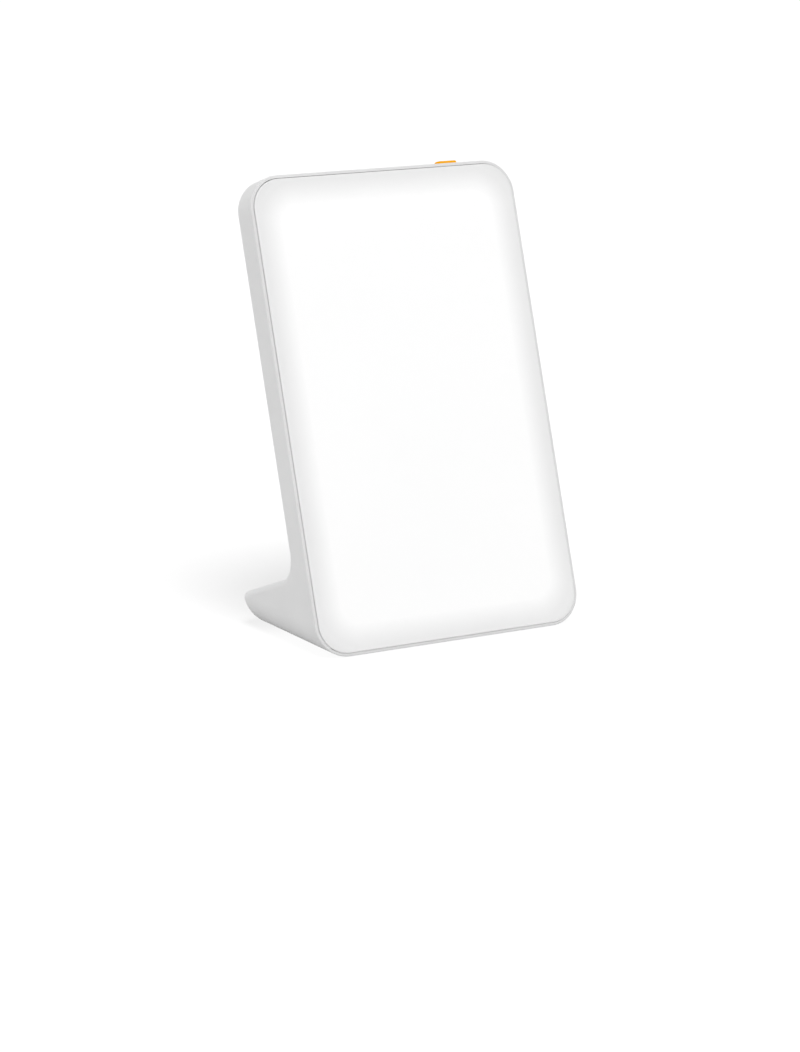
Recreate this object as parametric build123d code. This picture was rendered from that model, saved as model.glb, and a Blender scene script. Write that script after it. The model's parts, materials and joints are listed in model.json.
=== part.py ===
"""A light panel that leans back on an L-shaped foot.

Millimetres, +Z up, the light faces -Y. The origin is on the floor, under the middle of the part's box.
The panel's pieces are drawn in the panel's own frame: X across, Y up the leaning front face and
Z out of it, so a depth behind the front face is a negative Z. The foot's pieces are drawn upright.
"""

import os
from math import cos, pi, radians, sin, tan

from build123d import *

# Overall form
width = 150.0
panel_height = 235.5  # along the leaning front face
panel_depth = 16.2
lean = 18.1  # degrees back from upright
corner_radius = 16.6
foot_reach = 71.0  # from the front face to the foot's end, square to the front face
foot_rise = 42.4  # along the front face, up to where the foot's top meets the panel's back
foot_draft = 2.4  # degrees
crook_radius = 12.0  # between the panel's back and the foot's top
back_edge_radius = 3.4
rim_edge_radius = 0.5
wall = 1.5

# Diffuser
groove = 0.4  # between the rim and the diffuser
diffuser_proud = 0.9  # in front of the rim
diffuser_thickness = 2.2
diffuser_edge_radius = 0.5
skirt_depth = 6.0  # behind the front face
skirt_thickness = 1.2
hook_length = 9.0
hook_depth = 1.4
hook_bite = 0.5  # how far a hook reaches into its pocket
hook_clearance = 0.15
side_hook_heights = (60.0, 125.0, 190.0)
top_hook_offsets = (-48.0, -8.0)

# Optical stack behind the diffuser
film_thickness = 0.4
frame_thickness = 1.2
frame_clearance = 0.25  # round the film and the reflector frame
light_margin = 16.0  # from the panel's edge to the edge of the reflector's floor
light_corner_radius = 6.0
led_columns = 8
led_rows = 13
led_length = 3.5
led_width = 2.8
led_height = 0.7
led_lens_radius = 1.1
led_edge_gap = 4.5  # from the outer packages' centres to the reflector's wall
board_thickness = 1.6
spreader_thickness = 1.0
spreader_boss_height = 1.8
board_side_gap = 3.2  # from the housing's wall to the board
board_top_drop = 13.0  # from the panel's top edge to the board
board_bottom_rise = 10.0
board_corner_radius = 8.0
board_screw_inset = 4.7  # from the board's side
board_screw_heights = (18.0, 66.0, 140.0, 212.0)
board_boss_radius = 3.2
shelf_half_height = 3.5
shelf_depth = 7.0

# Fasteners: a board screw holds boards, a cover screw holds the base cover
board_screw_radius = 1.1
board_screw_head_radius = 2.1
board_screw_head_height = 1.3
board_screw_length = 4.5
cover_screw_radius = 1.3
cover_screw_head_radius = 2.5
cover_screw_head_height = 1.0
cover_screw_sunk = 0.1  # its head, above the underside
cover_screw_length = 7.0
screw_clearance = 0.1

# Button and its switch
button_offset = 42.5  # right of the middle
button_depth = 8.0  # its middle, behind the front face
button_length = 12.0
button_width = 5.0
button_proud = 2.1
button_edge_radius = 0.8
button_clearance = 0.25
button_travel = 1.0
button_flange = 1.2  # how far the flange is wider than the cap, all round
button_flange_thickness = 1.0
button_stop_gap = 0.1
button_stem_length = 0.6
button_stem_radius = 1.3
switch_length = 7.0
switch_width = 3.5
switch_height = 4.5
switch_drop = 5.0  # from the panel's top edge to the top of the switch
switch_bore_depth = 3.8
plunger_length = 3.0
plunger_width = 1.6
plunger_clearance = 0.1
dome_pressed = 0.3  # what is left of the dome's rise when the button is down
dome_span = 5.0
dome_width = 1.8
dome_thickness = 0.2
switch_board_length = 28.0
switch_board_height = 7.8
switch_board_thickness = 1.2
switch_board_drop = 4.6  # from the panel's top edge to the board
switch_screw_spacing = 21.0

# Base cover and pads
opening_length = 92.0
opening_width = 42.0
opening_front = 15.4  # from the front edge
opening_corner_radius = 4.0
cover_thickness = 2.0
cover_clearance = 0.2
ledge_width = 2.5
ledge_height = 2.0
ledge_rim = 1.6
cover_screw_inset = 4.6
cover_boss_radius = 3.2
cover_boss_height = 7.5
pad_radius = 4.0
pad_proud = 0.5
pad_sunk = 0.6
pad_clearance = 0.1
pad_spacing = 102.0
pad_front = 7.5  # from the front edge
pad_back = 64.0

# Driver board, in the foot
driver_length = 70.0
driver_width = 32.0
driver_front = 17.5  # from the front edge
driver_thickness = 1.6
driver_standoff = 3.0
driver_screw_inset = 3.5
standoff_radius = 2.8
inductor_size = 12.0
inductor_height = 6.0
inductor_core_radius = 4.6
inductor_front = 1.0  # in front of the driver board's middle
capacitor_radius = 3.15
capacitor_height = 9.0
capacitor_spacing = 8.5
capacitor_offset = 12.0
chip_height = 1.6
controller_length = 5.0
controller_width = 4.0
transistor_length = 6.5
transistor_width = 6.0
diode_length = 4.5
diode_width = 2.6
chip_offset = 22.0
chip_back = 6.0  # behind the driver board's middle
chip_front = 8.0  # in front of it

# Supply inlet: takes a plug of 5.5 mm with a bore of 2.1 mm
inlet_height = 9.0  # above the underside
inlet_opening_radius = 5.2
inlet_wall_gap = 0.2
jack_size = 9.0
jack_length = 12.0
jack_bore_radius = 2.9
jack_bore_depth = 9.5
jack_pin_radius = 1.0
jack_pin_recess = 0.8
jack_tail_radius = 0.7
cradle_wall = 1.6
cradle_clearance = 0.15
cradle_height = 5.0
lug_length = 3.0
lug_spacing = 5.5
lug_width = 1.6
lug_thickness = 0.6

# Leads and their connectors
lead_radius = 0.65
lead_pitch = 2.5
lead_out = 6.0  # how far a lead runs straight out of a connector
header_inset = 13.5  # from the driver board's front edge to the headers' middle
connector_length = 7.0
connector_width = 4.5
connector_height = 5.0
flat_connector_depth = 2.0
led_connector_rise = 30.0  # up the panel
led_connector_offset = -22.0
switch_lead_offset = 27.0  # where the switch's leads meet the driver board
guide_gap = 5.2
guide_clearance = 0.3
guide_thickness = 1.2
guide_length = 8.0
guide_heights = (80.0, 145.0, 195.0)

# Worked out from the sizes above
lean_sin, lean_cos = sin(radians(lean)), cos(radians(lean))
beyond = panel_height + foot_reach  # longer than any piece
panel = Plane(origin=(0, 0, pad_proud), x_dir=(1, 0, 0), z_dir=(0, -lean_cos, lean_sin))
backwards = Vector(0, lean_sin, -lean_cos)  # level and backwards, in the panel's frame
diffuser_inset = wall + groove
film_inset = diffuser_inset + skirt_thickness + frame_clearance
film_start = diffuser_thickness - diffuser_proud
frame_start = film_start + film_thickness
back_inside = panel_depth - wall
spreader_start = back_inside - spreader_boss_height - spreader_thickness
board_start = spreader_start - board_thickness
spreader_end = spreader_start + spreader_thickness
light_width = width - 2 * light_margin
light_height = panel_height - 2 * light_margin
board_width = width - 2 * (wall + board_side_gap)
board_height = panel_height - board_top_drop - board_bottom_rise
board_middle = board_bottom_rise + board_height / 2
switch_top = panel_height - switch_drop
switch_board_start = button_depth + switch_width / 2
switch_board_middle = panel_height - switch_board_drop - switch_board_height / 2
flange_top = panel_height - wall - button_stop_gap
flange_bottom = flange_top - button_flange_thickness
plunger_top = flange_bottom - button_stem_length
dome_foot = switch_top - switch_bore_depth
dome_rise = button_travel + dome_pressed
opening_middle = opening_front + opening_width / 2
driver_underside = cover_thickness + driver_standoff
driver_top = driver_underside + driver_thickness
driver_middle = driver_front + driver_width / 2
end_inside = (foot_reach - wall) / lean_cos  # the end wall's inner face, level with the underside
jack_bottom = inlet_height - jack_size / 2
jack_face = end_inside + jack_bottom * tan(radians(lean)) - inlet_wall_gap
jack_rear = jack_face - jack_length
cover_seat = cover_screw_sunk + cover_screw_head_height
plunger_bottom = dome_foot + dome_rise
header_y = driver_front + header_inset
rear_header_y = driver_front + driver_width - connector_width / 2
switch_connector_rise = switch_board_middle - switch_board_height / 2 + connector_width / 2
switch_lead_depth = (spreader_end + back_inside) / 2


def on_panel(shape):
    """Puts a shape drawn in the panel's frame in its place on the lamp."""
    return panel.location * shape


def on_base(shape):
    """Puts a shape drawn upright, from the underside, in its place on the lamp."""
    return Pos(0, 0, pad_proud) * shape


def slab(start, end):
    """Everything between two depths behind the front face."""
    return Pos(0, 0, -(start + end) / 2) * Box(beyond * 2, beyond * 2, end - start)


def lamp_form(inset, start=0.0):
    """The lamp's L-shaped form, moved inwards by inset all round, from a depth of start."""
    half, radius = width / 2 - inset, corner_radius - inset
    top, back, end = panel_height - inset, panel_depth - inset, foot_reach - inset

    # Seen square to the panel, the top corners' rounding runs along the panel's depth
    upper = Pos(0, top - beyond / 2) * Rectangle(2 * half, beyond)
    upper = fillet(upper.vertices().group_by(Axis.Y)[-1], radius)
    upper = extrude(Pos(0, 0, -start) * upper, -beyond)

    # The bottom corners' rounding and the underside run level, to the foot's end
    lower = Pos(0, inset + beyond / 2) * Rectangle(2 * half, beyond)
    lower = fillet(lower.vertices().group_by(Axis.Y)[0], radius)
    lower = extrude(Pos(backwards * (start / lean_cos)) * lower, beyond, dir=backwards)

    # Seen from the side: the panel's back, the foot's top and the foot's end
    draft = radians(foot_draft)
    crook = foot_rise - inset / cos(draft) + inset * tan(draft)
    foot_end = crook - (end - back) * tan(draft)
    outline = Polyline(
        (-beyond, -start),
        (beyond, -start),
        (beyond, -back),
        (crook, -back),
        (foot_end, -end),
        (-beyond, -end),
        close=True,
    )
    profile = make_face(outline)
    crook_vertex = profile.vertices().sort_by_distance((crook, -back, 0))[0]
    profile = Plane.YZ * fillet(crook_vertex, crook_radius + inset)
    return extrude(profile, width, both=True) & upper & lower


def rounded_form():
    """The outer form with its edges rounded: small at the rim, larger round the back."""
    form = lamp_form(0)
    down = Vector(0, -lean_cos, -lean_sin)
    skin = [f for f in form.faces() if abs(f.normal_at().X) < 0.01]
    ends = [
        max(skin, key=lambda f: f.normal_at().dot(down)),
        max(skin, key=lambda f: f.normal_at().Y),
        max(skin, key=lambda f: f.center().Z),
    ]
    back = [f for f in skin if f not in ends]
    sides = [e for f in form.faces() if f not in back for e in f.edges()]
    loop = [e for f in back for e in f.edges() if e in sides]
    foot_end = min(back, key=lambda f: f.center().Z)
    loop.append(foot_end.edges().sort_by(Axis.Y)[-1])
    form = fillet(loop, back_edge_radius)
    rim = max(form.faces(), key=lambda f: f.center().Z).edges()
    return fillet(rim, rim_edge_radius)


def both_sides(x):
    return (-x, x)


def post(x, rise, start, end, radius):
    """A round boss, shank or hole that runs along the panel's depth."""
    return Pos(x, rise, -(start + end) / 2) * Cylinder(radius, end - start)


def upright(x, y, bottom, top, radius):
    return Pos(x, y, (bottom + top) / 2) * Cylinder(radius, top - bottom)


def block(low, high):
    """A box between two corners."""
    low, high = Vector(*low), Vector(*high)
    size = high - low
    return Pos((low + high) / 2) * Box(size.X, size.Y, size.Z)


def button_slot(length, breadth, bottom, top):
    """A round-ended prism over the button's place, between two heights on the panel."""
    sketch = SlotOverall(length, breadth)
    return Pos(button_offset, bottom, -button_depth) * Rot(X=-90) * extrude(sketch, top - bottom)


def board_outline():
    return Pos(0, board_middle) * RectangleRounded(board_width, board_height, board_corner_radius)


def board_screw_places():
    """Where screws pass through the LED board, in the panel's frame."""
    side = board_width / 2 - board_screw_inset
    return [(x, rise) for rise in board_screw_heights for x in both_sides(side)]


def switch_screw_places():
    half = switch_screw_spacing / 2
    return [(button_offset + x, switch_board_middle) for x in both_sides(half)]


def cover_screw_places():
    side = opening_length / 2 - cover_screw_inset
    ends = (opening_front + cover_screw_inset, opening_front + opening_width - cover_screw_inset)
    return [(x, y) for y in ends for x in both_sides(side)]


def driver_screw_places():
    side = driver_length / 2 - driver_screw_inset
    ends = (driver_front + driver_screw_inset, driver_front + driver_width - driver_screw_inset)
    return [(x, y) for y in ends for x in both_sides(side)]


def pad_places():
    return [(x, y) for y in (pad_front, pad_back) for x in both_sides(pad_spacing / 2)]


def hooks(reach, spare):
    """The diffuser's snap hooks, or the pockets for them when spare is their clearance."""
    half = hook_length / 2 + spare
    front, back = -(skirt_depth - hook_depth - spare), -(skirt_depth + spare)
    root = width / 2 - diffuser_inset
    tip = width / 2 - wall + reach
    shapes = []
    for rise in side_hook_heights:
        shapes.append(block((root, rise - half, back), (tip, rise + half, front)))
        shapes.append(block((-tip, rise - half, back), (-root, rise + half, front)))
    low, high = panel_height - diffuser_inset, panel_height - wall + reach
    for x in top_hook_offsets:
        shapes.append(block((x - half, low, back), (x + half, high, front)))
    return shapes


def base_plate(length, breadth, radius, bottom, top):
    """A rounded plate centred on the opening in the underside."""
    sketch = RectangleRounded(length, breadth, radius)
    return Pos(0, opening_middle, bottom) * extrude(sketch, top - bottom)


def housing_panel_features():
    """Bosses, shelves and lead guides inside the panel."""
    shapes = []
    above_foot = foot_rise + crook_radius + board_boss_radius
    for x, rise in board_screw_places():
        if rise > above_foot:
            shapes.append(post(x, rise, spreader_end, panel_depth, board_boss_radius))
            continue
        inner, outer = abs(x) - board_boss_radius, width / 2
        low, high = (inner, outer) if x > 0 else (-outer, -inner)
        front, back = -spreader_end, -(spreader_end + shelf_depth)
        shapes.append(block((low, rise - shelf_half_height, back), (high, rise + shelf_half_height, front)))
    for x, rise in switch_screw_places():
        start = switch_board_start + switch_board_thickness
        shapes.append(post(x, rise, start, panel_depth, board_boss_radius))
    for rise in guide_heights:
        for side in both_sides(guide_gap / 2 + guide_thickness / 2):
            x = button_offset + side
            low = (x - guide_thickness / 2, rise - guide_length / 2, -panel_depth)
            high = (x + guide_thickness / 2, rise + guide_length / 2, -(spreader_end + guide_clearance))
            shapes.append(block(low, high))
    return shapes


def housing_foot_features():
    """The ledge and bosses for the base cover, and the cradle that holds the inlet."""
    rim = 2 * ledge_rim
    ledge = base_plate(
        opening_length + rim,
        opening_width + rim,
        opening_corner_radius + ledge_rim,
        0,
        cover_thickness + ledge_height,
    )
    bosses = [
        upright(x, y, cover_thickness, cover_thickness + cover_boss_height, cover_boss_radius)
        for x, y in cover_screw_places()
    ]
    half = jack_size / 2 + cradle_clearance + cradle_wall
    cradle = block(
        (-half, jack_rear - cradle_wall, 0),
        (half, jack_face - cradle_wall, jack_bottom + cradle_height),
    )
    return ledge, bosses, cradle


def rear_housing():
    shell = rounded_form() - lamp_form(wall, -1)
    core = lamp_form(wall / 2)
    shell = shell + [feature & core for feature in housing_panel_features()]
    shell = shell - hooks(hook_bite + hook_clearance, hook_clearance)
    spare = 2 * button_clearance
    shell = shell - button_slot(
        button_length + spare, button_width + spare, panel_height - 2 * wall, panel_height + 1
    )
    hole = board_screw_radius + screw_clearance
    led_grip = board_screw_length - board_thickness - spreader_thickness + screw_clearance
    switch_grip = board_screw_length - switch_board_thickness + screw_clearance
    switch_start = switch_board_start + switch_board_thickness
    for x, rise in board_screw_places():
        shell = shell - post(x, rise, spreader_end, spreader_end + led_grip, hole)
    for x, rise in switch_screw_places():
        shell = shell - post(x, rise, switch_start, switch_start + switch_grip, hole)

    shell, core = on_panel(shell), on_panel(core)
    ledge, bosses, cradle = housing_foot_features()
    shell = shell + (on_base(ledge) & core)
    inner = base_plate(
        opening_length - 2 * ledge_width,
        opening_width - 2 * ledge_width,
        opening_corner_radius,
        -1,
        cover_thickness + ledge_height + 1,
    )
    shell = shell - on_base(inner)
    shell = shell + [on_base(boss) for boss in bosses] + (on_base(cradle) & core)
    opening = base_plate(opening_length, opening_width, opening_corner_radius, -1, cover_thickness)
    shell = shell - on_base(opening)
    hole = cover_screw_radius + screw_clearance
    deep = cover_seat + cover_screw_length + screw_clearance
    for x, y in cover_screw_places():
        shell = shell - on_base(upright(x, y, cover_thickness, deep, hole))
    for x, y in pad_places():
        shell = shell - on_base(upright(x, y, -1, pad_sunk, pad_radius + pad_clearance))

    # The inlet: its nest in the cradle, room for its lugs, and the opening that the plug goes through
    over_cradle = jack_bottom + cradle_height + cradle_wall
    over_jack = jack_bottom + jack_size + cradle_clearance
    half = jack_size / 2 + cradle_clearance
    nest = block((-half, jack_rear, jack_bottom), (half, jack_face, over_jack))
    half = lug_spacing / 2 + lug_width
    lug_room = block(
        (-half, jack_rear - 2 * cradle_wall, inlet_height - lug_width),
        (half, jack_rear, over_cradle),
    )
    way = Pos(0, jack_face + panel_depth / 2, inlet_height) * Rot(X=90)
    plug_way = way * Cylinder(inlet_opening_radius, panel_depth)
    return shell - on_base(nest) - on_base(lug_room) - on_base(plug_way)


def front_diffuser():
    tray = lamp_form(diffuser_inset, -diffuser_proud) & slab(-diffuser_proud, skirt_depth)
    tray = tray - (lamp_form(diffuser_inset + skirt_thickness) & slab(film_start, panel_depth))
    half = button_length / 2 + 2 * button_flange
    front = button_depth - button_width / 2 - button_flange - groove
    room = block(
        (button_offset - half, panel_height - 2 * button_width, -panel_depth),
        (button_offset + half, panel_height, -front),
    )
    tray = tray - room + hooks(hook_bite, 0)
    face = max(tray.faces(), key=lambda f: f.center().Z)
    return on_panel(fillet(face.edges(), diffuser_edge_radius))


def diffusion_film():
    return on_panel(lamp_form(film_inset) & slab(film_start, frame_start))


def light_well(grow, start, end):
    """The reflector's sloped well between two depths, at 45 degrees, moved outwards by grow."""
    sections = []
    for depth in (start, end):
        spread = board_start - depth + grow
        sketch = RectangleRounded(
            light_width + 2 * spread, light_height + 2 * spread, light_corner_radius + spread
        )
        sections.append(Pos(0, panel_height / 2, -depth) * sketch)
    return loft(sections, ruled=True)


def reflector_frame():
    rim = lamp_form(film_inset) & slab(frame_start, frame_start + frame_thickness)
    skin = frame_thickness * 2**0.5  # along the board, through a wall at 45 degrees
    frame = rim + light_well(skin, frame_start, board_start)
    spare = frame_thickness
    return on_panel(frame - light_well(0, frame_start - spare, board_start + spare))


def led_board():
    board = Pos(0, 0, -board_start - board_thickness) * extrude(board_outline(), board_thickness)
    hole = board_screw_radius + screw_clearance
    for x, rise in board_screw_places():
        board = board - post(x, rise, board_start - 1, spreader_start + 1, hole)
    return on_panel(board)


def led_packages():
    """Rows and columns of packages, each with a round cup in its face."""
    span_x = light_width - 2 * led_edge_gap
    span_y = light_height - 2 * led_edge_gap
    cup = led_height / 3
    package = Box(led_length, led_width, led_height)
    package = package - Pos(0, 0, (led_height - cup) / 2) * Cylinder(led_lens_radius, cup)
    middle = Pos(0, panel_height / 2, -board_start + led_height / 2)
    places = GridLocations(
        span_x / (led_columns - 1), span_y / (led_rows - 1), led_columns, led_rows
    )
    return on_panel(Compound([middle * place * package for place in places]))


def heat_spreader():
    plate = Pos(0, 0, -spreader_end) * extrude(board_outline(), spreader_thickness)
    hole = board_screw_radius + screw_clearance
    for x, rise in board_screw_places():
        plate = plate - post(x, rise, spreader_start - 1, spreader_end + 1, hole)
    spare = 2 * ledge_rim
    window = Box(connector_length + spare, connector_width + spare, 4 * spreader_thickness)
    return on_panel(plate - Pos(led_connector_offset, led_connector_rise, -spreader_start) * window)


def cross_screw(head_radius, head_height, radius, length):
    """A pan head screw that stands on its tip: the seat under its head is at height 0."""
    head = Pos(0, 0, head_height / 2) * Cylinder(head_radius, head_height)
    head = fillet(head.edges().group_by(Axis.Z)[-1], head_height / 3)
    shank = Pos(0, 0, -length / 2) * Cylinder(radius, length)
    shank = chamfer(shank.edges().group_by(Axis.Z)[0], radius / 2)
    slot = Box(head_radius, head_radius / 4, head_height / 2) + Box(
        head_radius / 4, head_radius, head_height / 2
    )
    return head + shank - Pos(0, 0, head_height) * slot


def board_screw():
    return cross_screw(
        board_screw_head_radius, board_screw_head_height, board_screw_radius, board_screw_length
    )


def led_board_screws():
    return on_panel(
        Compound([Pos(x, rise, -board_start) * board_screw() for x, rise in board_screw_places()])
    )


def switch_board_screws():
    return on_panel(
        Compound(
            [Pos(x, rise, -switch_board_start) * board_screw() for x, rise in switch_screw_places()]
        )
    )


def driver_board_screws():
    return on_base(
        Compound([Pos(x, y, driver_top) * board_screw() for x, y in driver_screw_places()])
    )


def base_cover_screws():
    screw = Rot(X=180) * cross_screw(
        cover_screw_head_radius, cover_screw_head_height, cover_screw_radius, cover_screw_length
    )
    return on_base(Compound([Pos(x, y, cover_seat) * screw for x, y in cover_screw_places()]))


def led_connector():
    size = Box(connector_length, connector_width, connector_height)
    depth = spreader_start + connector_height / 2
    return on_panel(Pos(led_connector_offset, led_connector_rise, -depth) * size)


def switch_connector():
    size = Box(connector_length, connector_width, flat_connector_depth)
    start = switch_board_start + switch_board_thickness
    place = Pos(button_offset, switch_connector_rise, -(start + flat_connector_depth / 2))
    return on_panel(place * size)


def driver_connectors():
    """Two that the leads enter from above, and one at the back that the inlet's leads enter."""
    size = Box(connector_length, connector_width, connector_height)
    height = driver_top + connector_height / 2
    places = [(led_connector_offset, header_y), (switch_lead_offset, header_y), (0, rear_header_y)]
    return on_base(Compound([Pos(x, y, height) * size for x, y in places]))


def base_cover():
    spare = 2 * cover_clearance
    plate = base_plate(
        opening_length - spare,
        opening_width - spare,
        opening_corner_radius - cover_clearance,
        0,
        cover_thickness,
    )
    for x, y in driver_screw_places():
        plate = plate + upright(x, y, cover_thickness, driver_underside, standoff_radius)
    hole = board_screw_radius + screw_clearance
    grip = board_screw_length - driver_thickness + screw_clearance
    for x, y in driver_screw_places():
        plate = plate - upright(x, y, driver_underside - grip, driver_underside, hole)
    for x, y in cover_screw_places():
        plate = plate - upright(x, y, -1, cover_thickness + 1, cover_screw_radius + screw_clearance)
        plate = plate - upright(x, y, -1, cover_seat, cover_screw_head_radius + cover_clearance)
    return on_base(plate)


def base_pads():
    pad = Cylinder(pad_radius, pad_sunk + pad_proud)
    pad = fillet(pad.edges().group_by(Axis.Z)[0], pad_proud / 2)
    height = (pad_sunk - pad_proud) / 2
    return on_base(Compound([Pos(x, y, height) * pad for x, y in pad_places()]))


def driver_board():
    board = block(
        (-driver_length / 2, driver_front, driver_underside),
        (driver_length / 2, driver_front + driver_width, driver_top),
    )
    hole = board_screw_radius + screw_clearance
    for x, y in driver_screw_places():
        board = board - upright(x, y, driver_underside - 1, driver_top + 1, hole)
    return on_base(board)


def driver_inductor():
    """A square ferrite with a round waist, and the winding's bulge round it."""
    flange = inductor_height / 4
    plate = RectangleRounded(inductor_size, inductor_size, inductor_size / 6)
    shape = extrude(plate, flange) + Pos(0, 0, inductor_height - flange) * extrude(plate, flange)
    shape = shape + Pos(0, 0, inductor_height / 2) * Cylinder(inductor_core_radius, inductor_height)
    return on_base(Pos(0, driver_middle - inductor_front, driver_top) * shape)


def driver_capacitors():
    can = Cylinder(capacitor_radius, capacitor_height)
    can = fillet(can.edges().group_by(Axis.Z)[-1], capacitor_radius / 6)
    height = driver_top + capacitor_height / 2
    places = [
        (side * capacitor_offset, driver_middle + step * capacitor_spacing / 2)
        for side in (-1, 1)
        for step in (-1, 1)
    ]
    return on_base(Compound([Pos(x, y, height) * can for x, y in places]))


def driver_chips():
    """The controller, the switching transistor and the diode."""
    controller = Box(controller_length, controller_width, chip_height)
    transistor = Box(transistor_length, transistor_width, chip_height)
    diode = Box(diode_length, diode_width, chip_height)
    height = driver_top + chip_height / 2
    shapes = [
        Pos(-chip_offset, driver_middle + chip_back, height) * controller,
        Pos(chip_offset, driver_middle + chip_back, height) * transistor,
        Pos(chip_offset, driver_middle - chip_front, height) * diode,
    ]
    return on_base(Compound(shapes))


def dc_jack_body():
    body = block(
        (-jack_size / 2, jack_rear, jack_bottom),
        (jack_size / 2, jack_face, jack_bottom + jack_size),
    )
    body = fillet(body.edges().filter_by(Axis.Y), jack_size / 9)
    along = Rot(X=90)
    bore = Pos(0, jack_face - jack_bore_depth / 2, inlet_height) * along
    body = body - bore * Cylinder(jack_bore_radius, jack_bore_depth)
    tail = Pos(0, jack_rear, inlet_height) * along
    return on_base(body - tail * Cylinder(jack_tail_radius + screw_clearance, jack_length / 2))


def dc_jack_pin():
    """The pin in the bore, with a thinner tail through the body's rear wall and a collar behind it."""
    start, tip = jack_face - jack_bore_depth, jack_face - jack_pin_recess
    pin = Pos(0, (start + tip) / 2, inlet_height) * Rot(X=90) * Cylinder(jack_pin_radius, tip - start)
    pin = fillet(pin.edges().group_by(Axis.Y)[-1], jack_pin_radius / 3)
    tail_start = jack_rear - lug_thickness
    tail = Pos(0, (start + tail_start) / 2, inlet_height) * Rot(X=90)
    pin = pin + tail * Cylinder(jack_tail_radius, start - tail_start)
    collar = Pos(0, jack_rear - lug_thickness / 2, inlet_height) * Rot(X=90)
    return on_base(pin + collar * Cylinder(jack_pin_radius * 1.5, lug_thickness))


def dc_jack_lugs():
    shapes = []
    for side in both_sides(lug_spacing / 2):
        shapes.append(
            block(
                (side - lug_width / 2, jack_rear - lug_length, inlet_height - lug_thickness / 2),
                (side + lug_width / 2, jack_rear, inlet_height + lug_thickness / 2),
            )
        )
    return on_base(Compound(shapes))


def power_button():
    cap = button_slot(button_length, button_width, flange_bottom, panel_height + button_proud)
    cap = fillet(cap.edges().group_by(Axis.Y)[-1], button_edge_radius)
    flange = button_slot(
        button_length + 2 * button_flange, button_width + 2 * button_flange, flange_bottom, flange_top
    )
    stem = Pos(button_offset, (flange_bottom + plunger_top) / 2, -button_depth) * Rot(X=90)
    return on_panel(cap + flange + stem * Cylinder(button_stem_radius, button_stem_length))


def switch_room(length, breadth, bottom, top):
    """A block over the switch's middle, between two heights on the panel."""
    return block(
        (button_offset - length / 2, bottom, -button_depth - breadth / 2),
        (button_offset + length / 2, top, -button_depth + breadth / 2),
    )


def switch_body():
    body = switch_room(switch_length, switch_width, switch_top - switch_height, switch_top)
    spare = 2 * plunger_clearance
    bore = switch_room(plunger_length + spare, plunger_width + spare, dome_foot, switch_top + 1)
    dome_bore = switch_room(dome_span, dome_width + spare, dome_foot, dome_foot + dome_rise)
    return on_panel(body - bore - dome_bore)


def switch_plunger():
    return on_panel(switch_room(plunger_length, plunger_width, plunger_bottom, plunger_top))


def switch_dome():
    """A leaf that arches from side to side across the bottom of the switch's bore."""
    half = dome_span / 2 - plunger_clearance
    rise = dome_rise - plunger_clearance
    outer = (half**2 + rise**2) / (2 * rise)
    middle = rise - outer
    ring = Pos(0, middle) * (Circle(outer) - Circle(outer - dome_thickness))
    leaf = ring & Pos(0, rise / 2) * Rectangle(2 * half, rise)
    leaf = Pos(0, 0, -dome_width / 2) * extrude(leaf, dome_width)
    return on_panel(Pos(button_offset, dome_foot, -button_depth) * leaf)


def switch_board():
    middle = switch_board_start + switch_board_thickness / 2
    board = Box(switch_board_length, switch_board_height, switch_board_thickness)
    board = Pos(button_offset, switch_board_middle, -middle) * board
    hole = board_screw_radius + screw_clearance
    for x, rise in switch_screw_places():
        board = board - post(x, rise, middle - 2, middle + 2, hole)
    return on_panel(board)


def panel_point(x, rise, depth):
    return panel.from_local_coords(Vector(x, rise, -depth))


def base_point(x, y, z):
    return Vector(x, y, z + pad_proud)


def lead(points):
    """A tube along straight runs joined by arcs, each arc as large as its two runs allow."""
    radii = []
    for before, corner, after in zip(points, points[1:], points[2:]):
        run_in, run_out = corner - before, after - corner
        turn = radians(run_in.get_angle(run_out))
        radii.append(0.45 * min(run_in.length, run_out.length) / tan(turn / 2))
    path = FilletPolyline(*points, radius=radii) if radii else Line(*points)
    print("  lead radii", [round(r, 1) for r in radii])
    section = Plane(origin=path @ 0, z_dir=path % 0) * Circle(lead_radius)
    tube = sweep(section, path)
    expected = pi * lead_radius**2 * path.length
    print("  lead length", round(path.length, 1), "volume", round(tube.volume / expected, 4))
    return tube


def led_lead(side):
    """From the driver board up to the connector on the back of the LED board."""
    x = led_connector_offset + side * lead_pitch / 2
    depth = spreader_start + connector_height
    return lead(
        [
            panel_point(x, led_connector_rise, depth),
            panel_point(x, led_connector_rise, depth + lead_out),
            base_point(x, header_y, driver_top + connector_height + lead_out),
            base_point(x, header_y, driver_top + connector_height),
        ]
    )


def switch_lead(side):
    """From the switch board down the panel's back, between its guides, to the driver board.

    The route's points are chosen by hand: it wanders a little between the guides and eases round
    the crook.
    """
    shift = side * lead_pitch / 2
    depth = switch_lead_depth
    top = switch_connector_rise - connector_width / 2
    low_guide, middle_guide, high_guide = guide_heights
    x = button_offset + shift
    return lead(
        [
            panel_point(x, top, depth),
            panel_point(x, top - lead_out, depth),
            panel_point(x + 0.4, high_guide - 14, depth),
            panel_point(x - 0.3, middle_guide - 8, depth),
            panel_point(x + 0.3, low_guide + 12, depth),
            panel_point(x - 0.8, foot_rise + 13, depth),
            panel_point(x - 3.6, foot_rise + 1, depth + 0.5),
            panel_point((x + switch_lead_offset + shift) / 2 - 3, foot_rise - 8, depth + 6.5),
            base_point(switch_lead_offset + shift, header_y, driver_top + connector_height + lead_out),
            base_point(switch_lead_offset + shift, header_y, driver_top + connector_height),
        ]
    )


def jack_lead(side):
    x = side * lug_spacing / 2
    return lead(
        [
            base_point(x, jack_rear - lug_length, inlet_height),
            base_point(x, rear_header_y + connector_width / 2, inlet_height),
        ]
    )


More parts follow.
